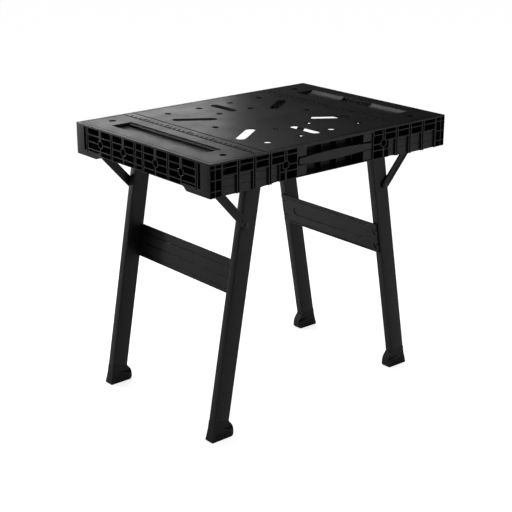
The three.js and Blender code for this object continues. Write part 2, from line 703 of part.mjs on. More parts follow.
// Slide rails and strut brackets, built at the +X end, on the side of Y that sy gives
function railSpanX() {
  const stop = SHOE_LENGTH / 2 + FIT_GAP + RAIL_WALL;
  return [pivotX - stop, pivotX + travel + stop];
}

function railSpanY(legY) {
  const outer = legY - LEG_THICKNESS / 2 - RUN_GAP;
  const cavity = outer - SHOE_THICKNESS - 2 * FIT_GAP;
  return { outer, cavity, web: cavity - RAIL_WALL, flange: cavity - RAIL_FLANGE_WIDTH };
}

function slideRailPad(legY) {
  const { cavity, flange } = railSpanY(legY);
  return [railSpanX(), [flange, cavity]];
}

function slideRail(legY, sy) {
  const { outer, cavity, web, flange } = railSpanY(legY);
  const inside = SHOE_HEIGHT / 2 + FIT_GAP;
  const outside = inside + RAIL_WALL;
  const top = deckRibPlane - FIT_GAP;
  const shelf = top - RAIL_FLANGE_THICKNESS;
  const outline = [
    [outer, pivotZ - outside], [outer, pivotZ - inside], [cavity, pivotZ - inside],
    [cavity, pivotZ + inside], [outer, pivotZ + inside], [outer, pivotZ + outside],
    [cavity, pivotZ + outside], [cavity, top], [flange, top], [flange, shelf], [web, shelf],
    [web, pivotZ - outside],
  ].map(([y, z]) => [sy * y, z]);
  const [from, to] = railSpanX();
  const stops = [[from, from + RAIL_WALL], [to - RAIL_WALL, to]].map((span) => box(
    span,
    [sy * (cavity - FIT_GAP), sy * outer],
    [pivotZ - inside - FIT_GAP, pivotZ + inside + FIT_GAP],
  ));
  return joinAll(prism('x', outline, from, to), stops);
}

function bracketSpanY(legY) {
  const outer = legY + LEG_THICKNESS / 2 + RUN_GAP - FIT_GAP;
  return { outer, inner: outer - BRACKET_THICKNESS, flange: outer - BRACKET_FLANGE_WIDTH };
}

function bracketPad(legY) {
  const { outer, flange } = bracketSpanY(legY);
  return [[strutSeat.x - BRACKET_HALF_WIDTH, strutSeat.x + BRACKET_HALF_WIDTH], [flange, outer]];
}

// The hook holds the stud from above and outside, and its mouth opens downward and inward
function strutBracket(legY, sy) {
  const { outer, inner, flange } = bracketSpanY(legY);
  const span = [strutSeat.x - BRACKET_HALF_WIDTH, strutSeat.x + BRACKET_HALF_WIDTH];
  const top = deckRibPlane - FIT_GAP;
  const bottom = strutSeat.z - BRACKET_BELOW_STUD;
  const reach = 3 * BRACKET_BELOW_STUD;
  const radius = STRUT_PIN_DIAMETER / 2 + FIT_GAP;
  const seat = arc(strutSeat.x, strutSeat.z, radius, 0, Math.PI - BRACKET_MOUTH_TURN, 2 * ARC_STEPS);
  const [lastX, lastZ] = seat.at(-1);
  const mouth = [
    ...seat,
    [lastX - reach * Math.sin(BRACKET_MOUTH_TURN), lastZ - reach * Math.cos(BRACKET_MOUTH_TURN)],
    [strutSeat.x + radius, lastZ - reach * Math.cos(BRACKET_MOUTH_TURN)],
  ];
  const plate = joinAll(box(span, [sy * inner, sy * outer], [bottom, top]), [
    box(span, [sy * flange, sy * outer], [top - RAIL_FLANGE_THICKNESS, top]),
  ]);
  return plate.subtract(prism('y', mouth, sy * (inner - CUT_PAST), sy * (outer + CUT_PAST)));
}

// Carriage: a shoe in each rail and the pin that carries the leg on it
function slideShoe(legY, sy) {
  const { cavity } = railSpanY(legY);
  const from = cavity + FIT_GAP;
  const block = box(
    [pivotX - SHOE_LENGTH / 2, pivotX + SHOE_LENGTH / 2],
    [sy * from, sy * (from + SHOE_THICKNESS)],
    [pivotZ - SHOE_HEIGHT / 2, pivotZ + SHOE_HEIGHT / 2],
  );
  const bore = circle(pivotX, pivotZ, PIVOT_PIN_DIAMETER + 2 * FIT_GAP, PIN_SIDES);
  return block.subtract(prism('y', bore, sy * (from - CUT_PAST), sy * (from + SHOE_THICKNESS + CUT_PAST)));
}

function pivotPin(legY, sy) {
  const { cavity } = railSpanY(legY);
  const outline = circle(pivotX, pivotZ, PIVOT_PIN_DIAMETER, PIN_SIDES);
  return prism('y', outline, sy * (cavity + FIT_GAP), sy * (legY + LEG_THICKNESS / 2));
}

// Leg frame, built in the frame of the leg: its pivot at the origin, the leg running down -Z, +X outward
const legHalf = LEG_WIDTH / 2;
const legReach = pivotZ / Math.cos(LEG_SPLAY);
const legEnd = -(pivotZ - FOOT_HEIGHT) / Math.cos(LEG_SPLAY);

function inLegFrame([x, z]) {
  const dx = x - pivotX;
  const dz = z - pivotZ;
  const cos = Math.cos(LEG_SPLAY);
  const sin = Math.sin(LEG_SPLAY);
  return [dx * cos + dz * sin, dz * cos - dx * sin];
}

function panelScrewLevels() {
  const upper = -PANEL_FROM_PIVOT;
  return [upper - PANEL_SCREW_MARGIN, upper - PANEL_HEIGHT + PANEL_SCREW_MARGIN];
}

function leg(y) {
  const outer = roundedRectangle(LEG_WIDTH, LEG_THICKNESS, LEG_CORNER_RADIUS);
  const inner = roundedRectangle(
    LEG_WIDTH - 2 * LEG_WALL,
    LEG_THICKNESS - 2 * LEG_WALL,
    LEG_CORNER_RADIUS - LEG_WALL,
  );
  const shift = (outline) => outline.map(([u, v]) => [u, v + y]);
  const across = [y - LEG_THICKNESS, y + LEG_THICKNESS];
  const screwHole = SCREW_SHANK_DIAMETER + 2 * FIT_GAP;
  const pinHole = STRUT_PIN_DIAMETER + 2 * FIT_GAP;
  return cutAll(prism('z', shift(outer), legEnd, LEG_TOP_OVERHANG), [
    prism('z', shift(inner), legEnd - CUT_PAST, LEG_TOP_OVERHANG + CUT_PAST),
    prism('y', circle(0, 0, PIVOT_PIN_DIAMETER + 2 * FIT_GAP, PIN_SIDES), ...across),
    prism('y', circle(STRUT_PIN_OUT, -STRUT_PIN_ALONG, pinHole, PIN_SIDES), ...across),
    ...panelScrewLevels().map((z) => prism('x', circle(y, z, screwHole, PIN_SIDES), -legHalf - CUT_PAST, 0)),
  ]);
}

// The section of a plug that fills the tube
function tubePlug(y) {
  const play = 2 * (LEG_WALL + FIT_GAP);
  const radius = LEG_CORNER_RADIUS - LEG_WALL - FIT_GAP;
  return roundedRectangle(LEG_WIDTH - play, LEG_THICKNESS - play, radius).map(([u, v]) => [u, v + y]);
}

function legCap(y) {
  const lid = roundedRectangle(LEG_WIDTH, LEG_THICKNESS, LEG_CORNER_RADIUS).map(([u, v]) => [u, v + y]);
  const seat = LEG_TOP_OVERHANG + FIT_GAP;
  const body = prism('z', tubePlug(y), seat - CAP_PLUG_LENGTH, seat + CAP_FLANGE / 2);
  const bore = circle(0, 0, PIVOT_PIN_DIAMETER + 2 * FIT_GAP, PIN_SIDES);
  return body.add(prism('z', lid, seat, seat + CAP_FLANGE))
    .subtract(prism('y', bore, y - LEG_THICKNESS, y + LEG_THICKNESS));
}

// Foot outline in bench coordinates: it carries on the faces of the leg, down to a round heel outside and a
// round toe that reaches inward
function footOutline() {
  const slope = Math.tan(LEG_SPLAY);
  const half = legHalf / Math.cos(LEG_SPLAY);
  const outerAt = (z) => legFloorX + half - slope * z;
  const innerAt = (z) => legFloorX - half - slope * z;
  const toe = innerAt(0) - FOOT_TOE_REACH;
  const heel = outerAt(FOOT_HEEL_RADIUS) + FOOT_FLARE;
  const toeCurve = new THREE.QuadraticBezierCurve(
    new THREE.Vector2(toe, FOOT_TOE_HEIGHT),
    new THREE.Vector2(toe, (FOOT_TOE_HEIGHT + FOOT_TOE_TOP) / 2),
    new THREE.Vector2(innerAt(FOOT_TOE_TOP), FOOT_TOE_TOP),
  ).getPoints(2 * ARC_STEPS);
  const rise = legHalf * Math.sin(LEG_SPLAY);
  return [
    [outerAt(FOOT_HEIGHT + rise), FOOT_HEIGHT + rise],
    [outerAt(FOOT_FLARE_HEIGHT), FOOT_FLARE_HEIGHT],
    ...arc(heel - FOOT_HEEL_RADIUS, FOOT_HEEL_RADIUS, FOOT_HEEL_RADIUS, 0, -Math.PI / 2, ARC_STEPS),
    ...arc(toe + FOOT_TOE_RADIUS, FOOT_TOE_RADIUS, FOOT_TOE_RADIUS, -Math.PI / 2, -Math.PI, ARC_STEPS),
    ...toeCurve.map((p) => [p.x, p.y]),
    [innerAt(FOOT_HEIGHT - rise), FOOT_HEIGHT - rise],
  ];
}

function foot(y) {
  const half = LEG_THICKNESS / 2;
  const wide = half + FOOT_FLARE;
  const seat = legEnd - FIT_GAP;
  const flareTop = (FOOT_FLARE_HEIGHT - pivotZ) / Math.cos(LEG_SPLAY);
  const below = -legReach - FOOT_HEIGHT;
  const right = [[half, seat], [half, flareTop], [wide, -legReach], [wide, below]];
  const across = [...right, ...right.map(([v, z]) => [-v, z]).reverse()].map(([v, z]) => [v + y, z]);
  const side = prism('y', footOutline().map(inLegFrame), y - wide, y + wide);
  const body = side.intersect(prism('x', across, -LEG_WIDTH, LEG_WIDTH));
  const cuts = [];
  const grooveSpan = (FOOT_GROOVE_COUNT - 1) * FOOT_GROOVE_PITCH;
  const middle = legFloorX - FOOT_TOE_REACH / 2;
  for (let i = 0; i < FOOT_GROOVE_COUNT; i += 1) {
    const x = middle - grooveSpan / 2 + i * FOOT_GROOVE_PITCH;
    const outline = [
      [x - FOOT_GROOVE_WIDTH / 2, FOOT_GROOVE_BOTTOM], [x + FOOT_GROOVE_WIDTH / 2, FOOT_GROOVE_BOTTOM],
      [x + FOOT_GROOVE_WIDTH / 2, FOOT_GROOVE_TOP], [x - FOOT_GROOVE_WIDTH / 2, FOOT_GROOVE_TOP],
    ].map(inLegFrame);
    for (const sy of bothSigns) {
      const face = y + sy * wide;
      cuts.push(prism('y', outline, face - sy * FOOT_GROOVE_DEPTH, face + sy * CUT_PAST));
    }
  }
  return cutAll(body, cuts).add(prism('z', tubePlug(y), seat - CUT_PAST, seat + CAP_PLUG_LENGTH));
}

const panelBack = -legHalf - FIT_GAP;
const panelFront = panelBack - PANEL_THICKNESS;

function crossPanel(legY) {
  const top = -PANEL_FROM_PIVOT;
  const bottom = top - PANEL_HEIGHT;
  const half = legY + LEG_THICKNESS / 2 - PANEL_END_INSET;
  const between = legY - LEG_THICKNESS / 2;
  const strip = (share, margin, width) => {
    const z = top - share * PANEL_HEIGHT;
    return obround(margin - between, z, between - margin, z, width);
  };
  const relief = [panelFront - CUT_PAST, panelFront + PANEL_RELIEF_DEPTH];
  const section = [
    [panelFront, top], [panelFront, bottom + PANEL_LOWER_BEVEL], [panelBack, bottom], [panelBack, top],
  ];
  const channel = strip(PANEL_CHANNEL_SHARE, PANEL_CHANNEL_MARGIN, PANEL_CHANNEL_WIDTH);
  const cuts = [prism('x', channel, ...relief)];
  for (const share of PANEL_LIP_SHARES) {
    cuts.push(prism('x', strip(share, PANEL_GROOVE_MARGIN, PANEL_GROOVE_WIDTH), ...relief));
  }
  for (const share of PANEL_GROOVE_SHARES) {
    const groove = strip(share, PANEL_GROOVE_MARGIN, PANEL_GROOVE_WIDTH);
    cuts.push(prism('x', groove, panelBack - PANEL_GROOVE_DEPTH, panelBack + CUT_PAST));
  }
  for (const z of panelScrewLevels()) {
    for (const sy of bothSigns) {
      const hole = circle(sy * legY, z, SCREW_SHANK_DIAMETER + 2 * FIT_GAP, PIN_SIDES);
      cuts.push(prism('x', hole, panelFront - CUT_PAST, panelBack + CUT_PAST));
      cuts.push(prism('x', circle(sy * legY, z, PANEL_POCKET_DIAMETER, HOLE_SIDES), ...relief));
    }
  }
  return cutAll(prism('y', section, -half, half), cuts);
}

function panelScrew(y, z) {
  const seat = panelFront + PANEL_RELIEF_DEPTH - FIT_GAP;
  const head = prism('x', circle(y, z, SCREW_HEAD_DIAMETER, PIN_SIDES), seat - SCREW_HEAD_HEIGHT, seat);
  const shank = circle(y, z, SCREW_SHANK_DIAMETER, PIN_SIDES);
  return head.add(prism('x', shank, seat - SCREW_HEAD_HEIGHT / 2, -legHalf + LEG_WALL + SCREW_BITE));
}

// A pin across the strut, its head outside: x and z place it, inner is the end of its shank
function strutFastener(x, z, inner, legY, sy) {
  const headSeat = legY + LEG_THICKNESS / 2 + RUN_GAP + STRUT_THICKNESS + FIT_GAP;
  const head = circle(x, z, STRUT_HEAD_DIAMETER, PIN_SIDES);
  const shank = circle(x, z, STRUT_PIN_DIAMETER, PIN_SIDES);
  return prism('y', head, sy * headSeat, sy * (headSeat + STRUT_HEAD_HEIGHT))
    .add(prism('y', shank, sy * inner, sy * (headSeat + STRUT_HEAD_HEIGHT / 2)));
}

function strut(legY, sy) {
  const inner = legY + LEG_THICKNESS / 2 + RUN_GAP;
  const outer = inner + STRUT_THICKNESS;
  const ends = [strutPin, strutSeat];
  const bar = obround(strutPin.x, strutPin.z, strutSeat.x, strutSeat.z, STRUT_WIDTH);
  const inset = (STRUT_HEAD_DIAMETER + STRUT_GROOVE_WIDTH) / strutLength;
  const groovePoint = (share) => [
    strutPin.x + share * (strutSeat.x - strutPin.x),
    strutPin.z + share * (strutSeat.z - strutPin.z),
  ];
  const groove = obround(...groovePoint(inset), ...groovePoint(1 - inset), STRUT_GROOVE_WIDTH);
  const bores = ends.map(({ x, z }) => circle(x, z, STRUT_PIN_DIAMETER + 2 * FIT_GAP, PIN_SIDES));
  return cutAll(prism('y', bar, sy * inner, sy * outer), [
    ...bores.map((bore) => prism('y', bore, sy * (inner - CUT_PAST), sy * (outer + CUT_PAST))),
    prism('y', groove, sy * (outer - STRUT_GROOVE_DEPTH), sy * (outer + CUT_PAST)),
  ]);
}

// One end of the bench: its rails under the deck, its carriage, its leg frame and its struts. It is built at
// the +X end and turned half round for the left, so that y of the left end runs the other way
function benchEnd(side, legY) {
  const end = new THREE.Group();
  const legFrame = new THREE.Group();
  legFrame.position.set(pivotX, 0, pivotZ);
  legFrame.rotation.y = -LEG_SPLAY;
  end.add(legFrame);
  end.add(piece(`${side}_end_rail`, endRail(), 'plastic'));
  legFrame.add(piece(`${side}_cross_panel`, crossPanel(legY), 'plastic'));
  for (const sy of bothSigns) {
    const place = (side === 'left') === (sy > 0) ? 'front' : 'rear';
    const name = (what) => `${side}_${place}_${what}`;
    const y = sy * legY;
    const legInner = legY - LEG_THICKNESS / 2;
    end.add(piece(name('slide_rail'), slideRail(legY, sy), 'coatedSteel'));
    end.add(piece(name('strut_bracket'), strutBracket(legY, sy), 'coatedSteel'));
    end.add(piece(name('slide_shoe'), slideShoe(legY, sy), 'plastic'));
    end.add(piece(name('pivot_pin'), pivotPin(legY, sy), 'blackenedSteel'));
    end.add(piece(name('strut'), strut(legY, sy), 'coatedSteel'));
    const studEnd = bracketSpanY(legY).inner;
    const stud = strutFastener(strutSeat.x, strutSeat.z, studEnd, legY, sy);
    end.add(piece(name('strut_stud'), stud, 'blackenedSteel'));
    legFrame.add(piece(name('leg'), leg(y), 'coatedSteel'));
    legFrame.add(piece(name('leg_cap'), legCap(y), 'plastic'));
    legFrame.add(piece(name('foot'), foot(y), 'plastic'));
    const pin = strutFastener(STRUT_PIN_OUT, -STRUT_PIN_ALONG, legInner, legY, sy);
    legFrame.add(piece(name('strut_pin'), pin, 'blackenedSteel'));
    panelScrewLevels().forEach((z, i) => {
      const screw = `panel_screw_${i === 0 ? 'upper' : 'lower'}`;
      legFrame.add(piece(name(screw), panelScrew(y, z), 'blackenedSteel'));
    });
  }
  return end;
}

// Workbench
const leftLegY = halfWidth - LEFT_LEG_INSET_Y;
const rightLegY = halfWidth - RIGHT_LEG_INSET_Y;
const legSets = [{ sx: -1, legY: leftLegY }, { sx: 1, legY: rightLegY }];
const workbench = new THREE.Group();
workbench.add(piece('deck_panel', deckPanel(legSets), 'plastic'));

for (const place of ['front', 'rear']) {
  const side = new THREE.Group();
  side.rotation.z = place === 'front' ? 0 : Math.PI;
  side.add(piece(`${place}_side_rail`, sideRail(), 'plastic'));
  side.add(piece(`${place}_carry_grip`, carryGrip(), 'plastic'));
  workbench.add(side);
}

const leftEnd = benchEnd('left', leftLegY);
leftEnd.rotation.z = Math.PI;
workbench.add(leftEnd);
workbench.add(benchEnd('right', rightLegY));

export default workbench;
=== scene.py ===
# %% [markdown]
# # A folding workbench, dressed in Blender
# The bench is a black moulded top on four splayed steel legs that fold flat under it. The CAD model already
# holds every solid and joint, so this lesson loads it as a fixed frame and only adds what the eye looks for:
# rounded edges, screws and rivets, the raised scale marks, and materials with a real grain.
# Everything is in metres and in the CAD's own frame, so no piece has to be fitted by hand.

# %% Load the frame
import json
import math

import bmesh
import bpy
import numpy as np
from mathutils import Matrix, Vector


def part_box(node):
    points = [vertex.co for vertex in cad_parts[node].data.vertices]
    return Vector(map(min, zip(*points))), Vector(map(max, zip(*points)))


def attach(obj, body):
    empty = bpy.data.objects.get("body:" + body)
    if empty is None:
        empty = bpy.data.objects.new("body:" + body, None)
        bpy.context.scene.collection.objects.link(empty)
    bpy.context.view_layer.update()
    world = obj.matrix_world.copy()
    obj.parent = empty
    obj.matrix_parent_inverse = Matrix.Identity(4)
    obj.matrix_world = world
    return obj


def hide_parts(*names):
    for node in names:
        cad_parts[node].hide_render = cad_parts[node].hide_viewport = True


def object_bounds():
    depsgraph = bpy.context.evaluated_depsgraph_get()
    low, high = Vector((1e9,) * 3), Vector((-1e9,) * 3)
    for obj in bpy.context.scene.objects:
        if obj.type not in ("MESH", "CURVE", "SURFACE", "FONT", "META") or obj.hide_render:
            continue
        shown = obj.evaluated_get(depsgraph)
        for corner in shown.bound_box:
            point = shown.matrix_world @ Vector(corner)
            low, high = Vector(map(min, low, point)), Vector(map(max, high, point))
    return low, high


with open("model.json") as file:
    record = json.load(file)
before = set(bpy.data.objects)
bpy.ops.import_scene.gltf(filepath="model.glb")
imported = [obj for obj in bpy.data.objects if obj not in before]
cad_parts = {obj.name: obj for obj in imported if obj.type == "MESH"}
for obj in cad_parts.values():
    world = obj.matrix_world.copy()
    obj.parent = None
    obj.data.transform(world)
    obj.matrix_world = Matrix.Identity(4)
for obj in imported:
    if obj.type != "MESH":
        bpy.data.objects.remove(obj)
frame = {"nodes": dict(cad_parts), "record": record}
cad_box = [list(corner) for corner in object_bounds()]
MM = 0.001

# %% [markdown]
# ## Two helpers for every material
# Colours are written as sRGB hex, the way a colour picker shows them, and the shader wants linear light, so
# one function turns the one into the other. A node tree is easiest to read when each node is one line, so a
# second function adds a node, its own settings, and its inputs, where an input is a number or a socket.

# %% Colour and node helpers
def linear(code):
    """sRGB hex to linear RGBA: a channel c becomes ((c + 0.055) / 1.055) ** 2.4, or c / 12.92 when dark."""
    srgb = np.array([int(code[i:i + 2], 16) for i in (1, 3, 5)]) / 255
    light = np.where(srgb <= 0.04045, srgb / 12.92, ((srgb + 0.055) / 1.055) ** 2.4)
    return (*light.tolist(), 1.0)


def put(tree, kind, inputs=None, **settings):
    """Adds one node. Settings are its properties; each input takes a value or another node's socket."""
    made = tree.nodes.new("ShaderNode" + kind)
    for name, value in settings.items():
        setattr(made, name, value)
    for name, value in (inputs or {}).items():
        if isinstance(value, bpy.types.NodeSocket):
            tree.links.new(value, made.inputs[name])
        else:
            made.inputs[name].default_value = value
    return made


def blank_material(name):
    """A new material with an empty node tree, and the Object coordinates that its patterns are laid on."""
    material = bpy.data.materials.new(name)
    material.use_nodes = True
    material.node_tree.nodes.clear()
    return material, material.node_tree, put(material.node_tree, "TexCoord").outputs["Object"]


print("black #18181a is", [round(c, 4) for c in linear("#18181a")])

# %% [markdown]
# ## Moulded polypropylene
# The top, its rails, the grips and the cross panels are injection moulded in black polypropylene. The steel
# mould is spark eroded, which leaves a fine matt grain, and the melt cools unevenly, so broad patches are a
# little glossier than others. Tools leave faint pale scuffs. Three noises at three real sizes give that: the
# grain as bump, the patches as roughness, and long thin streaks as colour. The cross panels get a duller copy
# of the same plastic whose colours are a shade darker than the top's; that darkening is painted shade.

# %% Material: moulded polypropylene
def moulded_polypropylene(name, body, scuff, roughness):
    """Grain of 1.4 mm (twice as coarse as the real one, so that it shows), 70 mm patches, 3 mm scuffs."""
    material, tree, place = blank_material(name)
    grain = put(tree, "TexNoise", {"Vector": place, "Scale": 1 / (1.4 * MM), "Detail": 2.0, "Roughness": 0.6})
    patch = put(tree, "TexNoise", {"Vector": place, "Scale": 1 / (70 * MM), "Detail": 3.0, "Roughness": 0.55})
    drawn = put(tree, "Mapping", {"Vector": place, "Rotation": (0, 0, 0.6), "Scale": (1.0, 0.06, 1.0)})
    streak = put(tree, "TexNoise", {"Vector": drawn.outputs[0], "Scale": 1 / (3 * MM), "Detail": 4.0})
    rubbed = put(tree, "MapRange", {"Value": streak.outputs["Fac"], "From Min": 0.62, "From Max": 0.8})
    worn = put(tree, "Math", {0: rubbed.outputs[0], 1: patch.outputs["Fac"]}, operation="MULTIPLY")
    colour = put(tree, "Mix", {"Factor": worn.outputs[0], "A": linear(body), "B": linear(scuff)},
                 data_type="RGBA")
    gloss = put(tree, "MapRange", {"Value": patch.outputs["Fac"], "From Min": 0.3, "From Max": 0.7,
                                   "To Min": roughness - 0.05, "To Max": roughness + 0.05})
    bump = put(tree, "Bump", {"Height": grain.outputs["Fac"], "Strength": 0.35, "Distance": 0.06 * MM})
    shader = put(tree, "BsdfPrincipled", {
        "Base Color": colour.outputs["Result"], "Roughness": gloss.outputs[0], "Normal": bump.outputs[0],
        "IOR": 1.49, "Specular IOR Level": 0.3})
    put(tree, "OutputMaterial", {"Surface": shader.outputs[0]})
    return material


top_plastic = moulded_polypropylene("moulded_black_polypropylene", "#18181a", "#323233", 0.38)
# painted shade: the panels' body and scuff colours are darker than the top's to dim them; the higher
# roughness is real
shaded_panel_plastic = moulded_polypropylene("shaded_matt_black_polypropylene", "#121213", "#28282a", 0.46)
print("made", top_plastic.name, shaded_panel_plastic.name)

# %% [markdown]
# ## Soft foot plastic, powder coat and blackened steel
# The feet are a softer plastic that grips the floor: the same black, but duller and dusty near the ground.
# The legs, struts and rails are steel under a baked powder coat, whose melted grains leave an even orange
# peel about 2 mm wide. Screws, pins and rivets are steel with a black oxide skin, thin enough to shine.

# %% Materials: foot plastic, powder coat, black oxide
def soft_foot_plastic(name):
    """A matt black with 2 mm mottling, and 0.8 mm dust specks that thicken towards the floor."""
    material, tree, place = blank_material(name)
    mottle = put(tree, "TexNoise", {"Vector": place, "Scale": 1 / (2 * MM), "Detail": 3.0})
    speck = put(tree, "TexVoronoi", {"Vector": place, "Scale": 1 / (4 * MM)})
    high = put(tree, "SeparateXYZ", {"Vector": place})
    low = put(tree, "MapRange", {"Value": high.outputs["Z"], "From Min": 25 * MM, "From Max": 0.0})
    dot = put(tree, "MapRange", {"Value": speck.outputs["Distance"], "From Min": 0.25, "From Max": 0.1})
    dust = put(tree, "Math", {0: low.outputs[0], 1: dot.outputs[0]}, operation="MULTIPLY")
    colour = put(tree, "Mix", {"Factor": dust.outputs[0], "A": linear("#111112"), "B": linear("#282827")},
                 data_type="RGBA")
    gloss = put(tree, "MapRange", {"Value": mottle.outputs["Fac"], "To Min": 0.5, "To Max": 0.66})
    bump = put(tree, "Bump", {"Height": mottle.outputs["Fac"], "Strength": 0.3, "Distance": 0.08 * MM})
    shader = put(tree, "BsdfPrincipled", {
        "Base Color": colour.outputs["Result"], "Roughness": gloss.outputs[0], "Normal": bump.outputs[0],
        "IOR": 1.5, "Specular IOR Level": 0.3})
    put(tree, "OutputMaterial", {"Surface": shader.outputs[0]})
    return material


def powder_coat(name):
    """Orange peel of 2.2 mm as bump over a satin black, 45 mm clouds in its gloss and a few fine nicks."""
    material, tree, place = blank_material(name)
    peel = put(tree, "TexNoise", {"Vector": place, "Scale": 1 / (2.2 * MM), "Detail": 1.0})
    cloud = put(tree, "TexNoise", {"Vector": place, "Scale": 1 / (45 * MM), "Detail": 2.0})
    nick = put(tree, "TexVoronoi", {"Vector": place, "Scale": 1 / (24 * MM)})
    chip = put(tree, "MapRange", {"Value": nick.outputs["Distance"], "From Min": 0.05, "From Max": 0.02})
    colour = put(tree, "Mix", {"Factor": chip.outputs[0], "A": linear("#101011"), "B": linear("#28282a")},
                 data_type="RGBA")
    gloss = put(tree, "MapRange", {"Value": cloud.outputs["Fac"], "To Min": 0.36, "To Max": 0.52})
    bump = put(tree, "Bump", {"Height": peel.outputs["Fac"], "Strength": 0.25, "Distance": 0.08 * MM})
    shader = put(tree, "BsdfPrincipled", {
        "Base Color": colour.outputs["Result"], "Roughness": gloss.outputs[0], "Normal": bump.outputs[0],
        "IOR": 1.5, "Specular IOR Level": 0.3})
    put(tree, "OutputMaterial", {"Surface": shader.outputs[0]})
    return material


def black_oxide_steel(name):
    """A dark metal whose oxide is blotched over 3 mm, so its gloss and tone wander together."""
    material, tree, place = blank_material(name)
    blotch = put(tree, "TexNoise", {"Vector": place, "Scale": 1 / (3 * MM), "Detail": 4.0})
    colour = put(tree, "Mix", {"Factor": blotch.outputs["Fac"], "A": linear("#2b2b2d"),
                               "B": linear("#4a4a4c")}, data_type="RGBA")
    gloss = put(tree, "MapRange", {"Value": blotch.outputs["Fac"], "To Min": 0.5, "To Max": 0.3})
    shader = put(tree, "BsdfPrincipled", {"Base Color": colour.outputs["Result"], "Metallic": 1.0,
                                          "Roughness": gloss.outputs[0]})
    put(tree, "OutputMaterial", {"Surface": shader.outputs[0]})
    return material


foot_plastic = soft_foot_plastic("soft_black_foot_plastic")
leg_coat = powder_coat("black_powder_coated_steel")
oxide_steel = black_oxide_steel("black_oxide_steel")
print("made", foot_plastic.name, leg_coat.name, oxide_steel.name)

# %% [markdown]
# ## Every solid gets its finish
# The record names a material slot for each solid, so the CAD nodes can be dressed by that name in one pass.
# A node keeps its own mesh; only the material in its slot changes.

# %% Dress the CAD nodes
finishes = {
    "moulded_plastic": top_plastic,
    "foot_plastic": foot_plastic,
    "coated_steel": leg_coat,
    "blackened_steel": oxide_steel,
}
slot_of = {part["node"]: part["material_slot"] for part in frame["record"]["subparts"]}


def finish_of(node):
    """The finish of the node's slot; the cross panels get the duller copy, darkened with painted shade."""
    return shaded_panel_plastic if node.endswith("_cross_panel") else finishes[slot_of[node]]


for node, solid in frame["nodes"].items():
    solid.data.materials.clear()
    solid.data.materials.append(finish_of(node))
print("dressed", len(frame["nodes"]), "nodes")

# %% [markdown]
# ## Softened edges
# No moulded or pressed edge is knife sharp: it ends in a radius of half a millimetre or so, and that thin
# curve is what catches the light. The CAD solids are loose triangles, so a copy is welded first (equal
# corners become one), its slivers are joined and cut afresh, and a Bevel modifier rounds what is left sharp.
# The copy stands in for its solid and rides on the same body.

# %% Softened copies of the solids
body_of = {node: body for body, nodes in frame["record"]["behaviour"]["bodies"].items() for node in nodes}
WELD = 0.001 * MM
FLAT_ANGLE, SHARP_ANGLE = math.radians(0.3), math.radians(30)


def softened(node, radius):
    """Corners equal to a micrometre are one vertex; edges over 30 degrees get a round of the given radius."""
    source = frame["nodes"][node].data
    corners = np.empty(len(source.vertices) * 3, np.float32)
    source.vertices.foreach_get("co", corners)
    source.calc_loop_triangles()
    triangles = np.empty(len(source.loop_triangles) * 3, np.int32)
    source.loop_triangles.foreach_get("vertices", triangles)
    keys = np.round(corners.reshape(-1, 3) / WELD).astype(np.int64)
    _, first, welded = np.unique(keys, axis=0, return_index=True, return_inverse=True)
    mesh = bpy.data.meshes.new(node + "_softened")
    mesh.from_pydata(corners.reshape(-1, 3)[first], [], welded.reshape(-1)[triangles].reshape(-1, 3))
    joined = bmesh.new()
    joined.from_mesh(mesh)
    bmesh.ops.dissolve_limit(joined, angle_limit=FLAT_ANGLE, verts=joined.verts, edges=joined.edges)
    bmesh.ops.triangulate(joined, faces=joined.faces)
    joined.to_mesh(mesh)
    joined.free()
    mesh.polygons.foreach_set("use_smooth", np.ones(len(mesh.polygons), bool))
    mesh.set_sharp_from_angle(angle=SHARP_ANGLE)
    mesh.materials.append(finish_of(node))
    piece = bpy.data.objects.new(node + "_softened", mesh)
    bpy.context.scene.collection.objects.link(piece)
    edge = piece.modifiers.new("edge_round", "BEVEL")
    edge.width, edge.segments, edge.limit_method = radius, 2, "ANGLE"
    edge.angle_limit, edge.harden_normals, edge.use_clamp_overlap = SHARP_ANGLE, True, False
    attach(piece, body_of[node])
    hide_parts(node)
    return piece


EDGE_ROUNDS = {
    "deck_panel": 0.5, "_end_rail": 0.6, "_side_rail": 0.6, "_carry_grip": 1.5, "_leg": 0.4, "_foot": 0.6,
    "_cross_panel": 0.6, "_strut": 0.6, "_slide_rail": 0.3, "_strut_bracket": 0.4,
}
softened_pieces = [
    softened(node, millimetres * MM)
    for ending, millimetres in EDGE_ROUNDS.items()
    for node in frame["nodes"] if node.endswith(ending)
]
print("softened", len(softened_pieces), "solids")

# %% [markdown]
# ## Turned heads: screws, pins and rivets
# A screw head or a rivet is a profile turned about its axis. So it is one grid: one parameter runs along the
# profile, the other round the axis, and both poles close in a single vertex. A cross recess is the same grid
# sunk where it lies inside two crossed bars. The axis ends are read from the CAD node that a piece replaces.

# %% Turned fasteners
TURNS, CROWN_POINTS = 48, 15
CROSS_ARM, CROSS_REACH = 0.17, 0.62
RIM_SHARE, CROWN_CURVE = 0.62, 0.96
TIP_RADIUS_SHARE, TIP_FROM_SHARE = 0.8, 0.96
END_FACE_DEPTH = 0.02 * MM
HEAD_SHARP_ANGLE = math.radians(40)


def end_centre(node, axis):
    """The middle of the node's end face that lies farthest along the axis."""
    corners = np.empty(len(frame["nodes"][node].data.vertices) * 3, np.float32)
    frame["nodes"][node].data.vertices.foreach_get("co", corners)
    corners = corners.reshape(-1, 3)
    along = corners @ axis
    face = corners[along > along.max() - END_FACE_DEPTH]
    return (face.min(0) + face.max(0)) / 2


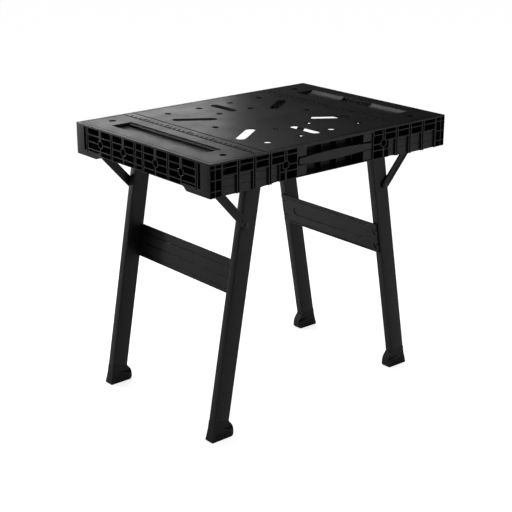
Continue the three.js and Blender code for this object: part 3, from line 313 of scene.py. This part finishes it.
def turned(name, radii, heights, base, axis, recess=0.0):
    """Point (i, j) is base + axis * h + r * (u cos a + v sin a); a recess lowers h inside a cross."""
    axis = np.asarray(axis, float) / np.linalg.norm(axis)
    side = np.cross(axis, (0.0, 0.0, 1.0) if abs(axis[2]) < 0.9 else (1.0, 0.0, 0.0))
    side /= np.linalg.norm(side)
    angle = np.arange(TURNS) * 2 * np.pi / TURNS
    r, h = np.asarray(radii)[1:-1, None], np.asarray(heights)[1:-1, None]
    x, y = r * np.cos(angle), r * np.sin(angle)
    longer, shorter = np.maximum(np.abs(x), np.abs(y)), np.minimum(np.abs(x), np.abs(y))
    sunk = (longer < CROSS_REACH * np.max(radii)) & (shorter < CROSS_ARM * np.max(radii))
    h = h - recess * sunk * (h > 0)
    rings = base + h[..., None] * axis + x[..., None] * side + y[..., None] * np.cross(axis, side)
    top, bottom = base + (heights[0] - recess) * axis, base + heights[-1] * axis
    count = len(radii) - 2
    i, j = np.meshgrid(np.arange(count - 1), np.arange(TURNS), indexing="ij")
    here, there = i * TURNS + j, i * TURNS + (j + 1) % TURNS
    quads = np.stack([here, here + TURNS, there + TURNS, there], -1).reshape(-1, 4)
    ring = np.arange(TURNS)
    first, last = count * TURNS, count * TURNS + 1
    cap = np.stack([np.full(TURNS, first), ring, (ring + 1) % TURNS], -1)
    tail = np.stack([np.full(TURNS, last), (ring + 1) % TURNS + (count - 1) * TURNS,
                     ring + (count - 1) * TURNS], -1)
    mesh = bpy.data.meshes.new(name)
    faces = [*quads.tolist(), *cap.tolist(), *tail.tolist()]
    mesh.from_pydata(np.vstack([rings.reshape(-1, 3), top, bottom]), [], faces)
    mesh.polygons.foreach_set("use_smooth", np.ones(len(mesh.polygons), bool))
    mesh.set_sharp_from_angle(angle=HEAD_SHARP_ANGLE)
    mesh.materials.append(oxide_steel)
    piece = bpy.data.objects.new(name, mesh)
    bpy.context.scene.collection.objects.link(piece)
    return piece


def pan_profile(head_radius, head_height, shank_radius, shank_length):
    """From the pole outwards: a crowned head, its rim, its flat seat, then the shank down to its own pole."""
    spread = np.linspace(0, 1, CROWN_POINTS)
    crown = head_height * (RIM_SHARE + (1 - RIM_SHARE) * np.sqrt(1 - CROWN_CURVE * spread ** 2))
    tip_radius, tip_from = TIP_RADIUS_SHARE * shank_radius, TIP_FROM_SHARE * shank_length
    radii = [*(head_radius * spread), head_radius, shank_radius, shank_radius, tip_radius, 0.0]
    heights = [*crown, 0.0, 0.0, -tip_from, -shank_length, -shank_length]
    return radii, heights


SPLAY = math.radians(10)
SCREW_HEAD_RADIUS, SCREW_HEAD_HEIGHT = 4.5 * MM, 2.5 * MM
SCREW_SHANK_RADIUS, SCREW_RECESS = 2.0 * MM, 1.3 * MM
screws = []
for node in frame["nodes"]:
    if "_panel_screw_" in node:
        inward = np.array([1.0 if node.startswith("left") else -1.0, 0.0, 0.0])
        axis = inward * math.cos(SPLAY) + np.array([0.0, 0.0, math.sin(SPLAY)])
        head, tip = end_centre(node, axis), end_centre(node, -axis)
        length = float(np.linalg.norm(head - tip))
        radii, heights = pan_profile(SCREW_HEAD_RADIUS, SCREW_HEAD_HEIGHT, SCREW_SHANK_RADIUS,
                                     length - SCREW_HEAD_HEIGHT)
        seat = head - axis * SCREW_HEAD_HEIGHT
        screw = turned(node + "_turned", radii, heights, seat, axis, recess=SCREW_RECESS)
        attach(screw, body_of[node])
        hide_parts(node)
        screws.append(screw)
print("turned", len(screws), "panel screws")

# %% Turned rivets at both ends of each strut
RIVET_HEAD_RADIUS, RIVET_HEAD_HEIGHT, RIVET_SHANK_RADIUS = 7.0 * MM, 2.0 * MM, 4.0 * MM
rivets = []
for node in frame["nodes"]:
    if node.endswith(("_strut_pin", "_strut_stud")):
        outward = np.array([0.0, -1.0 if "_front_" in node else 1.0, 0.0])
        head, tip = end_centre(node, outward), end_centre(node, -outward)
        length = float(np.linalg.norm(head - tip))
        radii, heights = pan_profile(RIVET_HEAD_RADIUS, RIVET_HEAD_HEIGHT, RIVET_SHANK_RADIUS,
                                     length - RIVET_HEAD_HEIGHT)
        rivet = turned(node + "_turned", radii, heights, head - outward * RIVET_HEAD_HEIGHT, outward)
        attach(rivet, body_of[node])
        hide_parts(node)
        rivets.append(rivet)
print("turned", len(rivets), "strut rivets")

# %% [markdown]
# ## Screws under the deck
# The slide rails and strut brackets hang from the deck by screws through their flanges. They are small
# fasteners, so the solids leave them out. They are turned here, heads down, on the underside of each flange.

# %% Screws of the slide rails and strut brackets
FLANGE_INSET, FLANGE_THICKNESS, FLANGE_SCREW_LENGTH = 8.0 * MM, 3.0 * MM, 9.0 * MM
FLANGE_HEAD_HEIGHT, FLANGE_RECESS = 2.6 * MM, 1.4 * MM
SCREW_SHARES = {"_slide_rail": (0.12, 0.5, 0.88), "_strut_bracket": (0.5,)}
flange_screws = []
for node in frame["nodes"]:
    low, high = (np.array(corner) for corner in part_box(node))
    middle_y = (low[1] + high[1]) / 2
    inner_y = low[1] if abs(low[1]) < abs(high[1]) else high[1]
    screw_y = inner_y + np.sign(middle_y) * FLANGE_INSET
    shares = [share for ending, row in SCREW_SHARES.items() if node.endswith(ending) for share in row]
    for number, share in enumerate(shares, 1):
        radii, heights = pan_profile(SCREW_HEAD_RADIUS, FLANGE_HEAD_HEIGHT, SCREW_SHANK_RADIUS,
                                     FLANGE_SCREW_LENGTH)
        seat = np.array([low[0] + share * (high[0] - low[0]), screw_y, high[2] - FLANGE_THICKNESS])
        screw = turned(f"{node}_screw_{number}", radii, heights, seat, (0, 0, -1), recess=FLANGE_RECESS)
        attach(screw, "bench_top")
        flange_screws.append(screw)
print("turned", len(flange_screws), "screws under the deck")

# %% [markdown]
# ## The raised scale
# Two ruler bands cross the deck, each between two fine grooves. Their marks stand about a millimetre proud of
# the deck, one every 20 mm, and a low lip runs along each groove. A mark is one small drafted block, and all
# of them are that block scaled and shifted in a single array, so fifty marks cost no more than one. The
# drafted flanks are what shows: they turn away from the lit backdrop, so each mark reads as a dark tick.

# %% Scale marks
def raised_bars(name, centres, sizes, draft, axes=np.eye(3)):
    """Corners of a unit block times each size, the upper four drawn in by the draft, turned and moved."""
    block = np.array([(x, y, z) for z in (0, 1) for x, y in ((-1, -1), (1, -1), (1, 1), (-1, 1))], float)
    points = block[None] * (sizes * (0.5, 0.5, 1.0))[:, None]
    points[:, 4:, :2] -= draft * block[None, 4:, :2]
    points = points @ axes + centres[:, None]
    sides = np.array([(3, 2, 1, 0), (4, 5, 6, 7), (0, 1, 5, 4), (1, 2, 6, 5), (2, 3, 7, 6), (3, 0, 4, 7)])
    faces = (sides[None] + 8 * np.arange(len(centres))[:, None, None]).reshape(-1, 4)
    mesh = bpy.data.meshes.new(name)
    mesh.from_pydata(points.reshape(-1, 3), [], faces.tolist())
    mesh.materials.append(top_plastic)
    piece = bpy.data.objects.new(name, mesh)
    bpy.context.scene.collection.objects.link(piece)
    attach(piece, "bench_top")
    return piece


DECK_TOP = cad_box[1][2]
MARK_WIDTH, MARK_HEIGHT, MARK_DRAFT = 3.2 * MM, 1.2 * MM, 1.3 * MM
MARK_LENGTH, LONG_MARK_LENGTH = 12.0 * MM, 18.0 * MM
scale_y = np.arange(-260, 261, 20) * MM
mark_lengths = np.where(np.arange(len(scale_y)) % 5 == 3, LONG_MARK_LENGTH, MARK_LENGTH)
ones = np.ones(len(scale_y))
scale_marks = []
for name, edge, step in (("left_scale_marks", -270.0 * MM, 1), ("right_scale_marks", 257.0 * MM, -1)):
    centres = np.column_stack([edge + step * mark_lengths / 2, scale_y, DECK_TOP * ones])
    sizes = np.column_stack([mark_lengths, MARK_WIDTH * ones, MARK_HEIGHT * ones])
    scale_marks.append(raised_bars(name, centres, sizes, MARK_DRAFT))
print("raised", len(scale_marks), "scales of", len(scale_y), "marks")

# %% Lips along the ruler grooves
LIP_SIZE, LIP_DRAFT, LIP_BESIDE_GROOVE = (2.4 * MM, 588.0 * MM, 0.8 * MM), 0.8 * MM, 2.2 * MM
groove_x = np.array([-272.5, -239.5, 226.5, 259.5]) * MM
lip_centres = np.column_stack([groove_x + LIP_BESIDE_GROOVE, 0 * groove_x, np.full(len(groove_x), DECK_TOP)])
groove_lips = raised_bars("ruler_groove_lips", lip_centres, np.tile(LIP_SIZE, (len(groove_x), 1)), LIP_DRAFT)
print("laid", len(groove_x), "lips as", groove_lips.name)

# %% [markdown]
# ## Beads on the side panels
# The smooth panels low on both sides carry two thin beads each, which stiffen the wall and hide its sink
# marks. They are the same drafted block again, only longer, and turned so that it rises out of the side.

# %% Panel beads
RING_X, BAY_PITCH, PANEL_FACE_Y = 178.0 * MM, 52.175 * MM, 294.5 * MM
NEAR_MARGINS, FAR_MARGINS = np.array([22.0, 5.5, 5.5, 5.5]) * MM, np.array([5.5, 5.5, 5.5, 3.0]) * MM
BEAD_WIDTH, BEAD_HEIGHT, BEAD_DRAFT, BEAD_END_GAP = 2.4 * MM, 0.9 * MM, 0.6 * MM, 1.0 * MM
BEAD_DROPS = np.array([46.5, 66.5]) * MM
panel_from = RING_X + BAY_PITCH * np.arange(4) + NEAR_MARGINS
panel_to = RING_X + BAY_PITCH * np.arange(1, 5) - FAR_MARGINS
panel_middles = (panel_from + panel_to) / 2
bead_lengths = panel_to - panel_from - 2 * BEAD_END_GAP
side, bay, row = (grid.ravel() for grid in np.meshgrid([-1, 1], np.arange(4), np.arange(2), indexing="ij"))
ones = np.ones(len(bay))
panel_beads = []
for name, face_y, axes in (("front_panel_beads", -PANEL_FACE_Y, ((1, 0, 0), (0, 0, 1), (0, -1, 0))),
                           ("rear_panel_beads", PANEL_FACE_Y, ((-1, 0, 0), (0, 0, 1), (0, 1, 0)))):
    centres = np.column_stack([side * panel_middles[bay], face_y * ones, DECK_TOP - BEAD_DROPS[row]])
    sizes = np.column_stack([bead_lengths[bay], BEAD_WIDTH * ones, BEAD_HEIGHT * ones])
    panel_beads.append(raised_bars(name, centres, sizes, BEAD_DRAFT, np.array(axes, float)))
print("raised", len(panel_beads), "sides of", len(bay), "panel beads")

# %% [markdown]
# ## Floor, light and camera
# The photograph is a product shot on white: a lit panel low behind the bench, which the deck mirrors on the
# left and loses on the right, a lamp at the rear left that grazes the left legs and their cross panel, a high
# one behind that lights the tray scoops, and weaker light from the front and above. The floor is pale and
# keeps the shadow; Light Path lifts what the camera, a mirror or a glass sees of it to white.

# %% Floor
FLOOR_HALF, FLOOR_LIFT, MIRRORED_SHARE = 15.0, 0.75, 0.1
floor_mesh = bpy.data.meshes.new("floor")
span = np.array([(-1, -1, 0), (1, -1, 0), (1, 1, 0), (-1, 1, 0)], float) * FLOOR_HALF
floor_mesh.from_pydata(span, [], [(0, 1, 2, 3)])
floor = bpy.data.objects.new("floor", floor_mesh)
bpy.context.scene.collection.objects.link(floor)
paper, tree, place = blank_material("white_paper_floor")
ray = put(tree, "LightPath")
fleck = put(tree, "TexNoise", {"Vector": place, "Scale": 1 / (30 * MM), "Detail": 2.0})
shade = put(tree, "Mix", {"Factor": fleck.outputs["Fac"], "A": linear("#e6e6e6"),
                          "B": linear("#eaeaea")}, data_type="RGBA")
matt = put(tree, "BsdfDiffuse", {"Color": shade.outputs["Result"]})
seen = put(tree, "Math", {0: ray.outputs["Is Camera Ray"], 1: ray.outputs["Is Transmission Ray"]},
           operation="MAXIMUM")
mirrored = put(tree, "Math", {0: ray.outputs["Is Glossy Ray"], 1: MIRRORED_SHARE, 2: seen.outputs[0]},
               operation="MULTIPLY_ADD")
lift = put(tree, "Math", {0: mirrored.outputs[0], 1: FLOOR_LIFT}, operation="MULTIPLY")
white = put(tree, "Emission", {"Color": linear("#ffffff"), "Strength": lift.outputs[0]})
surface = put(tree, "AddShader", {0: matt.outputs[0], 1: white.outputs[0]})
put(tree, "OutputMaterial", {"Surface": surface.outputs[0]})
floor_mesh.materials.append(paper)
print("floor", floor.dimensions[:])

# %% World
AMBIENT, BACKDROP, BACKDROP_WAY = 0.3, 0.1, (-0.35, 0.9, 0.25)
world = bpy.data.worlds.new("studio")
bpy.context.scene.world = world
world.use_nodes = True
tree = world.node_tree
tree.nodes.clear()
ray = put(tree, "LightPath")
facing = put(tree, "TexCoord").outputs["Generated"]
towards = put(tree, "VectorMath", {0: facing, 1: BACKDROP_WAY}, operation="DOT_PRODUCT")
fade = put(tree, "MapRange", {"Value": towards.outputs["Value"], "From Min": 0.2, "From Max": 0.95,
                              "To Min": 0.0, "To Max": BACKDROP}, interpolation_type="SMOOTHSTEP")
ambient = put(tree, "Background", {"Color": linear("#ffffff"), "Strength": AMBIENT})
backdrop = put(tree, "Background", {"Color": linear("#ffffff"), "Strength": fade.outputs[0]})
white = put(tree, "Background", {"Color": linear("#ffffff"), "Strength": 1.0})
seen = put(tree, "Math", {0: ray.outputs["Is Camera Ray"], 1: ray.outputs["Is Transmission Ray"]},
           operation="MAXIMUM")
inner = put(tree, "MixShader", {0: ray.outputs["Is Glossy Ray"], 1: ambient.outputs[0],
                                2: backdrop.outputs[0]})
outer = put(tree, "MixShader", {0: seen.outputs[0], 1: inner.outputs[0], 2: white.outputs[0]})
put(tree, "OutputWorld", {"Surface": outer.outputs[0]})
print("world", world.name)

# %% Lamps
def softbox(name, place, target, width, height, radiance):
    """A flat lamp of the given radiance, which needs radiance * pi * area watts, turned to its target."""
    lamp = bpy.data.lights.new(name, "AREA")
    lamp.shape, lamp.size, lamp.size_y = "RECTANGLE", width, height
    lamp.energy = radiance * math.pi * width * height
    lit = bpy.data.objects.new(name, lamp)
    bpy.context.scene.collection.objects.link(lit)
    z = np.asarray(place, float) - np.asarray(target, float)
    z /= np.linalg.norm(z)
    x = np.cross((0.0, 0.0, 1.0), z)
    x /= np.linalg.norm(x)
    y = np.cross(z, x)
    turned_to = np.column_stack([x, y, z, place])
    lit.matrix_world = Matrix([*turned_to.tolist(), [0, 0, 0, 1]])
    lit.visible_camera = False
    return lit


lamps = [
    softbox("rear_left_softbox", (-0.95, 1.7, 0.85), (-0.3, 0.0, 0.5), 0.2, 0.27, 71.0),
    softbox("back_softbox", (0.06, 1.3, 1.0), (0.06, 0.0, 0.9), 1.7, 0.5, 2.0),
    softbox("front_right_softbox", (1.5, -2.5, 0.8), (0.0, 0.0, 0.5), 1.2, 1.2, 1.9),
    softbox("high_back_softbox", (0.75, 1.4, 2.3), (0.35, 0.0, 0.78), 0.9, 0.6, 3.6),
    softbox("top_softbox", (0.0, -0.3, 2.6), (0.0, 0.0, 0.4), 1.5, 1.5, 1.2),
]
print("lamps", [(lamp.name, round(lamp.data.energy, 1)) for lamp in lamps])

# %% Camera and view
CAMERA_PLACE = (-2.21397, -2.59167, 1.56433)
CAMERA_DOWN, CAMERA_TURN = 0.335492, -0.701347
SENSOR_WIDTH, FOCAL_LENGTH = 36.0, 87.12
lens = bpy.data.cameras.new("camera")
lens.sensor_width, lens.lens = SENSOR_WIDTH, FOCAL_LENGTH
camera = bpy.data.objects.new("camera", lens)
camera.location = CAMERA_PLACE
camera.rotation_euler = (math.pi / 2 - CAMERA_DOWN, 0.0, CAMERA_TURN)
bpy.context.scene.collection.objects.link(camera)
bpy.context.scene.camera = camera
bpy.context.scene.view_settings.view_transform = "Standard"
print("camera at", camera.location[:])

# %% The last line: bring the view layer up to date
bpy.context.view_layer.update()
